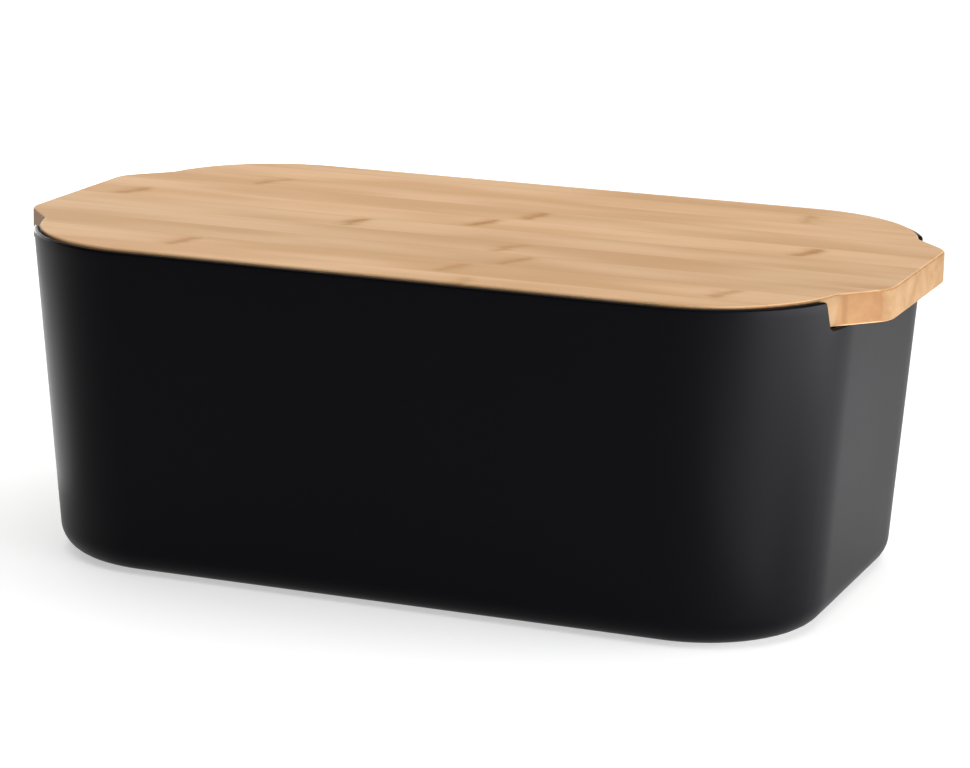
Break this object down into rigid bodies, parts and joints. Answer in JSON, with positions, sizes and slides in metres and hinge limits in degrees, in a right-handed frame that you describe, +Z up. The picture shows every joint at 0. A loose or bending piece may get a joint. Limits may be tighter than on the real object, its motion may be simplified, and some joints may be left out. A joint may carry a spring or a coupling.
{
  "type": "bread bin",
  "caption": "Tapered black plastic bread bin with rounded corners and notched rim ends, and a drop-in laminated bamboo lid board whose end tabs serve as grips.",
  "frame": {"origin": "on the table, under the middle of the bin", "axes": "+X along the bin's length, towards one end tab; -Y towards the front long side; +Z up through the lid"},
  "size_m": [0.3858, 0.2208, 0.1422],
  "materials": {
    "black_plastic": "satin moulded plastic, soft highlights",
    "bamboo": "sanded laminated bamboo, lightly oiled"
  },
  "bodies": {
    "bin": {"bin_body": "black_plastic"},
    "lid": {"lid_strip_01": "bamboo", "lid_strip_02": "bamboo", "lid_strip_03": "bamboo", "lid_strip_04": "bamboo", "lid_strip_05": "bamboo", "lid_strip_06": "bamboo", "lid_strip_07": "bamboo", "lid_strip_08": "bamboo", "lid_strip_09": "bamboo", "lid_strip_10": "bamboo"}
  },
  "joints": [
    {"name": "lid_lift", "type": "slide", "parent": "bin", "child": "lid", "axis": [0, 0, 1], "range_m": [0, 0.2]}
  ]
}
